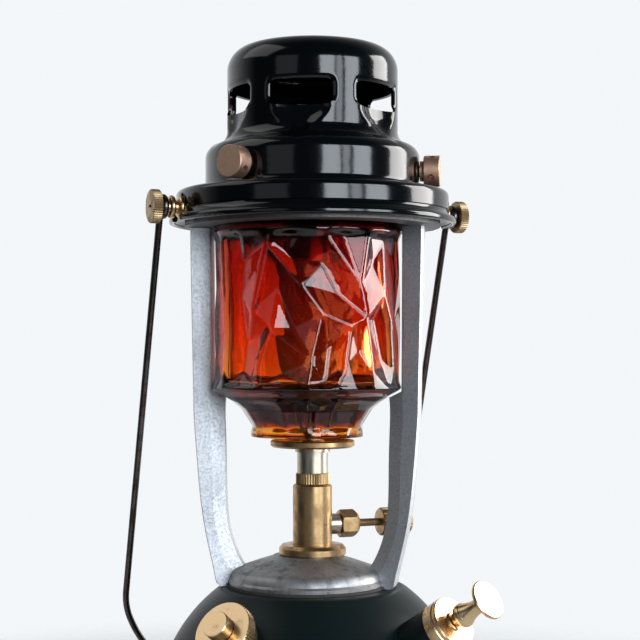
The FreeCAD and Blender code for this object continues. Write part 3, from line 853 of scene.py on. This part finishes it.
@dataclass
class HoodCrown:
    """Enamelled cap, shoulder and skirt in one pressing.

    Each window's edge is turned in, and a scoop runs down from its foot, narrows and dies away in the shoulder.
    A stop of the outline is a line's end as radius and height, or an arc's middle and end. A stop of the scoop is
    a height and the radius of its floor.
    """

    columns: int = 360
    arc_step: float = 1.1
    line_step: float = 0.9
    wall: float = 1.2
    cap_radius: float = 40.5
    shoulder_radius: float = 50.8
    skirt_radius: float = 64.6
    skirt_top: float = 271.0
    opening: tuple[float, float] = (307.4, 318.9)
    half_degrees: float = 21.5
    corner: float = 2.6
    lip: float = 2.4
    lip_depth: float = 1.2
    screw_hole: float = 2.9
    scoop_half: tuple[float, float] = (5.5, 15.0)
    scoop_levels: tuple[float, float] = (293.0, 306.5)
    scoop_rise: float = 7.0
    crease: float = 4.4
    fold_degrees: float = 50.0
    window_bearings: tuple[int, ...] = (-150, -90, -30, 30, 90, 150)
    screw_bearings: tuple[int, ...] = (-60, 60, 180)
    screw_height: float = 280.5
    pin_bearings: tuple[int, ...] = (-90, 90)
    pin_height: float = 262.0
    pin_notch: float = 5.8
    outline: tuple[tuple[float, ...], ...] = (
        (0.4, 341.2), (15, 340.9, 27.5, 339.9), (36.9, 336.6, 40.5, 328.5), (40.5, 319.9), (40.5, 318.9),
        (40.5, 307.4), (40.5, 306.4), (40.5, 300.5), (41.5, 296.2, 45.0, 293.2), (49.3, 290.8, 50.8, 286.2),
        (50.8, 275.0), (51.7, 272.8, 54.0, 271.9), (61.4, 271.4), (63.8, 270.6, 64.6, 268.6), (64.6, 262.4))
    scoop: tuple[tuple[float, float], ...] = (
        (290.0, 52.0), (293.6, 44.6), (296.0, 40.6), (299.0, 37.9), (303.0, 36.5), (307.4, 35.9), (310.0, 36.2),
        (312.0, 45.0))

    def profile(self) -> np.ndarray:
        """Rows from the crown's middle to the skirt's edge; arcs become short chords.

        Returns:
            Rows of radius and height.
        """
        rows = [np.array(self.outline[0])]
        for stop in self.outline[1:]:
            start, end = rows[-1], np.array(stop[-2:])
            if len(stop) == 4:
                through = np.array(stop[:2])
                centre = circle_centre(start, through, end)
                first = math.atan2(*(start - centre)[::-1])
                last = math.atan2(*(end - centre)[::-1])
                last += round((first - last) / (2 * math.pi)) * 2 * math.pi
                radius = float(np.hypot(*(start - centre)))
                steps = max(3, round(abs(last - first) * radius / self.arc_step))
                turns = np.linspace(first, last, steps + 1)[1:]
                rows += list(centre + radius * np.column_stack([np.cos(turns), np.sin(turns)]))
            else:
                steps = max(1, round(float(np.hypot(*(end - start))) / self.line_step))
                rows += [start + (end - start) * step / steps for step in range(1, steps + 1)]
        return np.array(rows)

    def from_opening(self, aside: np.ndarray, height: np.ndarray) -> np.ndarray:
        """Signed distance to a window's rounded outline.

        It is the distance to the box of the corners' centres, less the corner's radius.

        Args:
            aside: Distance round the hood from the window's middle.
            height: Height.

        Returns:
            The distance, negative inside the window.
        """
        half = self.cap_radius * math.radians(self.half_degrees) - self.corner
        tall = (self.opening[1] - self.opening[0]) / 2 - self.corner
        middle = sum(self.opening) / 2
        across, up = np.abs(aside) - half, np.abs(height - middle) - tall
        outside = np.hypot(np.maximum(across, 0), np.maximum(up, 0))
        return outside + np.minimum(np.maximum(across, up), 0) - self.corner

    def aside(self, angle: np.ndarray, bearing: float, radius: np.ndarray | float) -> np.ndarray:
        """Distance round the hood from a bearing, at a radius."""
        turn = (angle - math.radians(bearing) + math.pi) % (2 * math.pi) - math.pi
        return turn * radius

    def pressed(self, angle: np.ndarray, radius: np.ndarray, height: np.ndarray) -> np.ndarray:
        """Radius after pressing.

        The lip goes in by its depth times the square of how near the edge is. The scoop is its floor plus
        `scoop_rise` times (distance aside / half width) to the power 2.6, blended with the plain sheet over `crease`.

        Args:
            angle: Bearings in radians.
            radius: Radii of the plain sheet.
            height: Heights.

        Returns:
            The radii.
        """
        levels, floors = np.array(self.scoop).T
        narrow, wide = self.scoop_half
        half = narrow + (wide - narrow) * smooth_step(height, *self.scoop_levels)
        for bearing in self.window_bearings:
            aside = self.aside(angle, bearing, self.cap_radius)
            away = np.clip(self.from_opening(aside, height), 0, self.lip) / self.lip
            above_foot = smooth_step(height, self.opening[0] + 1.0, self.opening[0] + 4.0)
            radius = radius - self.lip_depth * (1 - away) ** 2 * above_foot
            floor = np.interp(height, levels, floors, left=FAR, right=FAR)
            hollow = floor + self.scoop_rise * (np.abs(aside) / half) ** 2.6
            gap = np.clip(0.5 + (hollow - radius) / self.crease, 0, 1)
            radius = radius * gap + hollow * (1 - gap) - self.crease / 2 * gap * (1 - gap)
        return radius

    def holes(self, angle: np.ndarray, height: np.ndarray) -> np.ndarray:
        """Signed distance to the nearest hole for a screw or notch over a pin.

        Args:
            angle: Bearings in radians.
            height: Heights.

        Returns:
            The distance, negative inside a hole.
        """
        nearest = np.full(np.broadcast(angle, height).shape, FAR)
        for bearing in self.screw_bearings:
            aside = self.aside(angle, bearing, self.shoulder_radius)
            nearest = np.minimum(nearest, np.hypot(aside, height - self.screw_height) - self.screw_hole)
        for bearing in self.pin_bearings:
            aside = self.aside(angle, bearing, self.skirt_radius)
            above = np.maximum(height - self.pin_height, 0)
            notch = np.hypot(aside, above) - self.pin_notch
            nearest = np.minimum(nearest, np.where(height < self.skirt_top, notch, FAR))
        return nearest

    def build(self) -> bpy.types.Object:
        """Make the outer sheet, leave out the windows, offset it by the wall and join the edges.

        Returns:
            The piece.
        """
        rows = self.profile()
        angle = np.radians(np.arange(self.columns) * 360 / self.columns + 0.5)[None, :]
        height = rows[:, 1][:, None] + 0 * angle
        window = np.full(height.shape, FAR)
        for bearing in self.window_bearings:
            aside = self.aside(angle, bearing, self.cap_radius)
            window = np.minimum(window, self.from_opening(aside, height))
        moved_angle, moved_height = self.rounded_corners(angle + 0 * height, height)
        radius = self.pressed(moved_angle, rows[:, 0][:, None] + 0 * angle, moved_height)
        bearing = moved_angle - math.pi / 2
        outer = np.stack([radius * np.cos(bearing), radius * np.sin(bearing), moved_height], axis=-1)
        around = np.roll(outer, -1, axis=1) - np.roll(outer, 1, axis=1)
        normal = np.cross(around, np.gradient(outer, axis=0))
        normal = normal / np.linalg.norm(normal, axis=-1, keepdims=True)
        inner = outer + normal * self.wall
        gone = (np.minimum(self.holes(angle, height), window) < -0.02)
        faces = self.sheet_faces(gone, len(rows))
        points = np.concatenate([outer.reshape(-1, 3), inner.reshape(-1, 3)]) * MM
        count = self.columns
        caps = [list(range(count)), [len(rows) * count + index for index in reversed(range(count))]]
        mesh = bpy.data.meshes.new("hood_pressing")
        mesh.from_pydata(points, [], [*faces.tolist(), *caps])
        mesh.polygons.foreach_set("use_smooth", np.ones(len(mesh.polygons), bool))
        mesh.set_sharp_from_angle(angle=math.radians(self.fold_degrees))
        mesh.update()
        piece = dressed_piece(mesh, Enamel("black_enamel"))
        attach(piece, "hood")
        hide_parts("hood_crown")
        LOG.info("hood: %s with %d faces", piece.name, len(mesh.polygons))
        return piece

    def rounded_corners(self, angle: np.ndarray, height: np.ndarray) -> tuple[np.ndarray, np.ndarray]:
        """Pull the grid's points at a window's square corners in to the rounded ones.

        Args:
            angle: Bearings in radians.
            height: Heights.

        Returns:
            The moved bearings and heights.
        """
        middle = sum(self.opening) / 2
        tall = (self.opening[1] - self.opening[0]) / 2
        wide = self.cap_radius * math.radians(self.half_degrees)
        for bearing in self.window_bearings:
            aside = self.aside(angle, bearing, self.cap_radius)
            up = height - middle
            across, rise = np.abs(aside) - wide + self.corner, np.abs(up) - tall + self.corner
            far = np.hypot(across, rise)
            at_corner = (across > 0) & (rise > 0) & (far > self.corner) & (np.abs(aside) < wide + 0.1)
            at_corner &= np.abs(up) < tall + 0.1
            scale = np.where(at_corner, self.corner / np.maximum(far, 1e-6), 1.0)
            angle = angle - np.where(at_corner, np.sign(aside) * across * (1 - scale) / self.cap_radius, 0)
            height = height - np.where(at_corner, np.sign(up) * rise * (1 - scale), 0)
        return angle, height

    def sheet_faces(self, gone: np.ndarray, rows: int) -> np.ndarray:
        """Faces of both skins but for the holes, and the strips that join them round every edge.

        Args:
            gone: Which points of the grid lie in a hole.
            rows: Rows of the grid.

        Returns:
            Rows of four indices; the inner skin's come after the outer one's.
        """
        index = np.arange(rows * self.columns).reshape(rows, self.columns)
        right = np.roll(index, -1, axis=1)
        lost = gone | np.roll(gone, -1, axis=1)
        lost = lost[:-1] | lost[1:]
        quads = np.stack([index[:-1], index[1:], right[1:], right[:-1]], axis=-1)[~lost]
        total = rows * self.columns
        edges = np.concatenate([quads[:, [side, (side + 1) % 4]] for side in range(4)])
        key = edges[:, 0] * total + edges[:, 1]
        back = edges[:, 1] * total + edges[:, 0]
        open_edges = edges[~np.isin(key, back)]
        open_edges = open_edges[~((open_edges < self.columns).all(axis=1))]
        strips = np.stack([open_edges[:, 1], open_edges[:, 0], open_edges[:, 0] + total, open_edges[:, 1] + total],
                          axis=-1)
        return np.concatenate([quads, quads[:, ::-1] + total, strips])


@dataclass
class Mantle:
    """Knitted sock tied round the vaporiser below and the ceramic carrier above.

    A tie is its height, the length over which its pleats die away, and their share of the full depth.
    """

    columns: int = 240
    rows: int = 120
    thickness: float = 0.5
    pleats: int = 22
    pleat_depth: float = 0.55
    ties: tuple[tuple[float, float, float], ...] = ((173.0, 7.0, 1.0), (226.0, 6.0, 0.7))
    profile: tuple[tuple[float, float], ...] = (
        (168.3, 5.1), (169.2, 4.9), (171.5, 7.6), (176.0, 12.0), (182.0, 15.7), (190.0, 18.2), (199.0, 19.0),
        (208.0, 18.4), (217.0, 16.6), (225.0, 13.8), (229.5, 12.4), (231.0, 12.7))

    def build(self) -> bpy.types.Object:
        """Radius is the profile plus a cosine of the bearing for the pleats, deepest at the ties, and a slow sag.

        Returns:
            The piece.
        """
        angle = np.linspace(0, 2 * math.pi, self.columns, endpoint=False)[None, :]
        levels, radii = np.array(self.profile).T
        rise = np.linspace(levels[0], levels[-1], self.rows)
        base = np.interp(rise, levels, radii)
        for _ in range(4):
            base[1:-1] = (base[:-2] + 2 * base[1:-1] + base[2:]) / 4
        tie = sum(share * np.exp(-(((rise - level) / reach) ** 2)) for level, reach, share in self.ties)
        folds = np.cos(self.pleats * angle + 1.3 * np.sin(2 * angle)) * self.pleat_depth * tie[:, None]
        sag = 0.35 * np.sin(5 * angle + rise[:, None] / 9.0)
        outer = base[:, None] + np.maximum(folds, -0.4) - 0.4 + sag * smooth_step(rise, 176, 190)[:, None] * 0.6
        outer = np.minimum(outer, base[:, None])
        radius = np.concatenate([outer, outer[::-1] - self.thickness])
        height = np.concatenate([rise, rise[::-1]])[:, None] + 0 * angle
        points = np.stack([radius * np.cos(angle), radius * np.sin(angle), height], axis=-1) * MM
        along = np.concatenate([rise, rise[::-1]])[:, None] - rise[0] + 0 * angle
        uv = np.stack([angle / (2 * math.pi) + 0 * along, along / (rise[-1] - rise[0])], axis=-1)
        piece = dressed_piece(grid_mesh("mantle_sock", points, uv), MantleCloth("mantle_cloth"))
        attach(piece, "root")
        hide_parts("mantle")
        ring = outer.mean(axis=1)
        slant = np.hypot(np.diff(ring), np.diff(rise))
        area = float((math.pi * (ring[1:] + ring[:-1]) * slant).sum()) * MM * MM
        return piece


# ------------------------------------------------------------------ studio


@dataclass(frozen=True)
class Panel:
    """A soft light standing at a bearing to the camera's right, facing the lantern."""

    name: str
    bearing: float
    elevation: float
    distance: float
    width: float
    height: float
    radiance: float
    colour: Colour = (1.0, 0.99, 0.97)

    def build(self, target: Vector, towards_camera: Vector) -> None:
        """Place the area light; its power is radiance times pi times its area.

        Args:
            target: The point that it faces.
            towards_camera: Level unit vector from the lantern to the camera.
        """
        turn, rise = math.radians(self.bearing), math.radians(self.elevation)
        right = Vector((-towards_camera.y, towards_camera.x, 0.0))
        level = towards_camera * math.cos(turn) + right * math.sin(turn)
        direction = level * math.cos(rise) + Vector((0, 0, math.sin(rise)))
        light = bpy.data.lights.new(self.name, "AREA")
        light.shape = "RECTANGLE"
        light.size, light.size_y = self.width, self.height
        light.energy = self.radiance * math.pi * self.width * self.height
        light.color = self.colour
        lamp = bpy.data.objects.new(self.name, light)
        lamp.location = target + direction * self.distance
        lamp.rotation_euler = direction.to_track_quat("Z", "Y").to_euler()
        bpy.context.scene.collection.objects.link(lamp)


@dataclass
class Studio:
    """Pale floor, sky, window-like lights and the camera.

    The floor is whole to the first length of `floor_fade` and gone at the second. The sky brightens from the first
    to the second value of `bright_from`, the cosine of the angle from straight behind the lantern.
    """

    target: Vector = field(default_factory=lambda: Vector((0, 0, 0.22)))
    camera_distance: float = 0.732
    camera_bearing: float = -22.0
    eye_height: float = 0.195
    lens: float = 86.6
    shift: tuple[float, float] = (0.0117, 0.0516)
    sky_bright: Colour = (0.90, 0.925, 0.945)
    sky_dark: Colour = (0.022, 0.026, 0.030)
    bright_from: tuple[float, float] = (-0.20, 0.80)
    floor_fade: tuple[float, float] = (0.20, 0.42)
    panels: tuple[Panel, ...] = (
        Panel("window_near", 19.5, 8, 1.9, 0.62, 0.95, 8.0, (0.86, 0.93, 1.0)),
        Panel("window_middle", 35.3, 8, 1.9, 0.26, 0.95, 5.5, (0.86, 0.93, 1.0)),
        Panel("window_far", 53.0, 8, 1.9, 0.66, 0.95, 8.0, (0.86, 0.93, 1.0)),
        Panel("side_window", 103.0, 12, 1.7, 0.85, 1.2, 9.0),
        Panel("left_high", -88.0, 45, 1.6, 1.3, 1.0, 1.0),
        Panel("left_wall", -34.0, 8, 2.2, 1.1, 1.2, 0.40, (0.85, 0.92, 1.0)))

    @property
    def towards_camera(self) -> Vector:
        """Level unit vector from the lantern to the camera."""
        turn = math.radians(self.camera_bearing)
        return Vector((math.sin(turn), -math.cos(turn), 0.0))

    def build_camera(self) -> None:
        """Put the camera level at eye height, looking along the horizon at the lantern's axis."""
        data = bpy.data.cameras.new("camera")
        data.lens = self.lens
        data.sensor_width = 36.0
        data.shift_x, data.shift_y = self.shift
        data.clip_start = 0.01
        camera = bpy.data.objects.new("camera", data)
        camera.location = self.towards_camera * self.camera_distance + Vector((0, 0, self.eye_height))
        camera.rotation_euler = self.towards_camera.to_track_quat("Z", "Y").to_euler()
        bpy.context.scene.collection.objects.link(camera)
        bpy.context.scene.camera = camera

    def build_floor(self) -> None:
        """Pale disc of four rings under the foot, fading out into the backdrop."""
        count = 96
        turn = np.linspace(0, 2 * math.pi, count, endpoint=False)
        rings = np.array([0.02, 0.15, 0.3, 0.45])[:, None]
        points = np.stack([rings * np.cos(turn), rings * np.sin(turn), 0 * rings * turn], axis=-1)
        index = np.arange(rings.size * count).reshape(rings.size, count)
        lower, upper = index[:-1], index[1:]
        faces = np.stack([lower, upper, np.roll(upper, -1, 1), np.roll(lower, -1, 1)], axis=-1).reshape(-1, 4)
        mesh = bpy.data.meshes.new("floor")
        mesh.from_pydata(points.reshape(-1, 3), [], [*faces.tolist(), index[0].tolist()])
        floor = bpy.data.objects.new("floor", mesh)
        bpy.context.scene.collection.objects.link(floor)
        graph = Graph.of_material("floor")
        grain = graph.noise(graph.place(), 40, 4.0)
        colour = graph.blend(grain, (0.80, 0.81, 0.82), (0.84, 0.85, 0.86))
        fade = 1 - graph.length(graph.place()).step(*self.floor_fade)
        mesh.materials.append(graph.surface(Base_Color=colour, Roughness=0.8, Alpha=fade))

    def build_sky(self) -> None:
        """Bright behind the lantern, dark behind the camera and dimmer overhead; the camera itself sees it pale."""
        world = bpy.data.worlds.new("sky")
        bpy.context.scene.world = world
        graph = Graph(world)
        place = graph.add("ShaderNodeTexCoord", out="Generated")
        ahead = -self.towards_camera
        facing = graph.add("ShaderNodeVectorMath", {"operation": "DOT_PRODUCT"}, {0: place, 1: ahead}, "Value")
        overhead = 1 - graph.split(place)[2].step(0.15, 0.90) * 0.75
        share = facing.step(*self.bright_from) * overhead
        light = graph.blend(share, self.sky_dark, self.sky_bright)
        seen = graph.add("ShaderNodeLightPath", out="Is Camera Ray")
        colour = graph.blend(seen, light, self.sky_bright)
        graph.end("ShaderNodeOutputWorld", graph.add("ShaderNodeBackground", None, {"Color": colour}))

    def build(self) -> None:
        """Build everything that isn't the lantern."""
        self.build_camera()
        self.build_floor()
        self.build_sky()
        for panel in self.panels:
            panel.build(self.target, self.towards_camera)
            LOG.info("studio: %s", panel.name)
        bpy.context.scene.view_settings.view_transform = "Standard"


# ------------------------------------------------------------------ the lantern


def turned(name: str, axis: Axis, **looks: Any) -> TurnedMetal:
    """A turned finish named after its metal and its axis."""
    return TurnedMetal(f"{name}_{axis.name.lower()}", axis, **looks)


AGED_BRASS = {"colour": (0.50, 0.33, 0.165), "tarnish": (0.18, 0.10, 0.045), "tarnish_share": 0.60,
              "roughness": 0.22}
BRIGHT_BRASS = {"colour": (0.74, 0.53, 0.31), "tarnish": (0.36, 0.23, 0.11), "tarnish_share": 0.25,
                "roughness": 0.20}
BRONZE = {"colour": (0.80, 0.52, 0.38), "tarnish": (0.36, 0.21, 0.14), "tarnish_share": 0.40, "roughness": 0.42}
DULL_BRASS = {"colour": (0.46, 0.33, 0.19), "tarnish": (0.16, 0.10, 0.055), "tarnish_share": 0.60, "roughness": 0.36}
NICKEL = {"colour": (0.50, 0.45, 0.36), "tarnish": (0.30, 0.24, 0.17), "tarnish_share": 0.35, "roughness": 0.24}


def dressings() -> list[Dressing]:
    """Every CAD node that shows as it is, by sub-assembly.

    Returns:
        The dressings, in order.
    """
    paint = TankPaint("tank_paint")
    enamel = Enamel("black_enamel")
    cast = CastAluminium("cast_aluminium")
    swirled = CastAluminium("swirled_aluminium", (0.46, 0.46, 0.465), (0.17, 0.17, 0.175), True, 0.45)
    # Painted shade: the top ring under the brim gets a darkened aluminium colour that paints the shade it sits in.
    shade_painted_cast = CastAluminium("shade_painted_aluminium", (0.20, 0.20, 0.20), (0.08, 0.08, 0.08))
    rubber = Plain("foot_rubber")
    fibre = Plain("gasket_fibre", (0.035, 0.03, 0.026), (0.07, 0.062, 0.055), 1200.0, 0.75)
    ceramic = Plain("carrier_ceramic", (0.74, 0.70, 0.62), (0.55, 0.50, 0.42), 900.0, 0.6)
    leather = Plain("cup_leather", (0.24, 0.13, 0.06), (0.12, 0.06, 0.03), 900.0, 0.55)
    wire = DrawnWire("drawn_wire")
    aged = turned("aged_brass", Axis.LANTERN, **AGED_BRASS)
    nickel = turned("nickel", Axis.LANTERN, **NICKEL)
    control = turned("aged_brass", Axis.CONTROL, **AGED_BRASS)
    pump = turned("bright_brass", Axis.PUMP, **BRIGHT_BRASS)
    filler = turned("bright_brass", Axis.FILLER, **BRIGHT_BRASS)
    return [
        Dressing("tank", {"tank_dome": paint, "tank_pan": paint, "pump_boss": paint, "foot_ring": rubber}),
        Dressing("cage", {"cage_gasket": fibre, "cage_base_plate": swirled, "cage_top_ring": shade_painted_cast,
                          "cage_upright_right": cast, "cage_upright_left": cast}),
        Dressing("hood", {"hood_brim": enamel,
                          "hood_screw_1": turned("bronze", Axis.HOOD_SCREW_1, **BRONZE),
                          "hood_screw_2": turned("bronze", Axis.HOOD_SCREW_2, **BRONZE),
                          "hood_screw_3": turned("bronze", Axis.HOOD_SCREW_3, **BRONZE)}),
        Dressing("bail", {"bail": wire, "bail_nut_left": turned("dull_brass", Axis.BAIL, **DULL_BRASS),
                          "bail_nut_right": turned("dull_brass", Axis.BAIL, **DULL_BRASS),
                          "bail_standoff_left": turned("bright_brass", Axis.BAIL, **BRIGHT_BRASS),
                          "bail_standoff_right": turned("bright_brass", Axis.BAIL, **BRIGHT_BRASS)}),
        Dressing("burner", {"base_flange": aged, "burner_sleeve": aged, "union_ring": aged, "gallery_plate": aged,
                            "jet": aged, "stem_tube": nickel, "vaporiser_tube": nickel, "burner_head": nickel,
                            "burner_spider": nickel, "mixing_chamber": nickel, "mantle_carrier": ceramic}),
        Dressing("control", {"packing_boss": turned("nickel", Axis.CONTROL, **NICKEL), "packing_nut": control,
                             "control_spindle": control, "control_knob": control, "spindle_packing": fibre,
                             "needle_rod": wire}),
        Dressing("fuel path", {"stem_union": aged, "stem_locknut": aged, "pickup_tube": aged,
                               "pickup_filter": aged}),
        Dressing("pump", {"pump_barrel": pump, "check_valve": pump, "pump_cap": pump, "pump_rod": pump,
                          "pump_piston": leather, "piston_nut": pump, "pump_knob": pump}),
        Dressing("filler", {"filler_neck": filler, "filler_gasket": fibre, "filler_cap": filler,
                            "relief_screw": filler}),
    ]


def corners(box: tuple[Vector, Vector]) -> list[list[float]]:
    """A box's two corners as plain lists."""
    return [[float(value) for value in corner] for corner in box]


def main() -> None:
    """Build the lantern's looks and the studio, in order."""
    logging.basicConfig(level=logging.INFO, format="%(name)s: %(message)s")
    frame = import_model()
    Studio().build()
    for dressing in dressings():
        dressing.dress(frame["nodes"])
    HoodCrown().build()
    CrystalGlobe().build()
    Mantle().build()


if __name__ == "__main__":
    main()
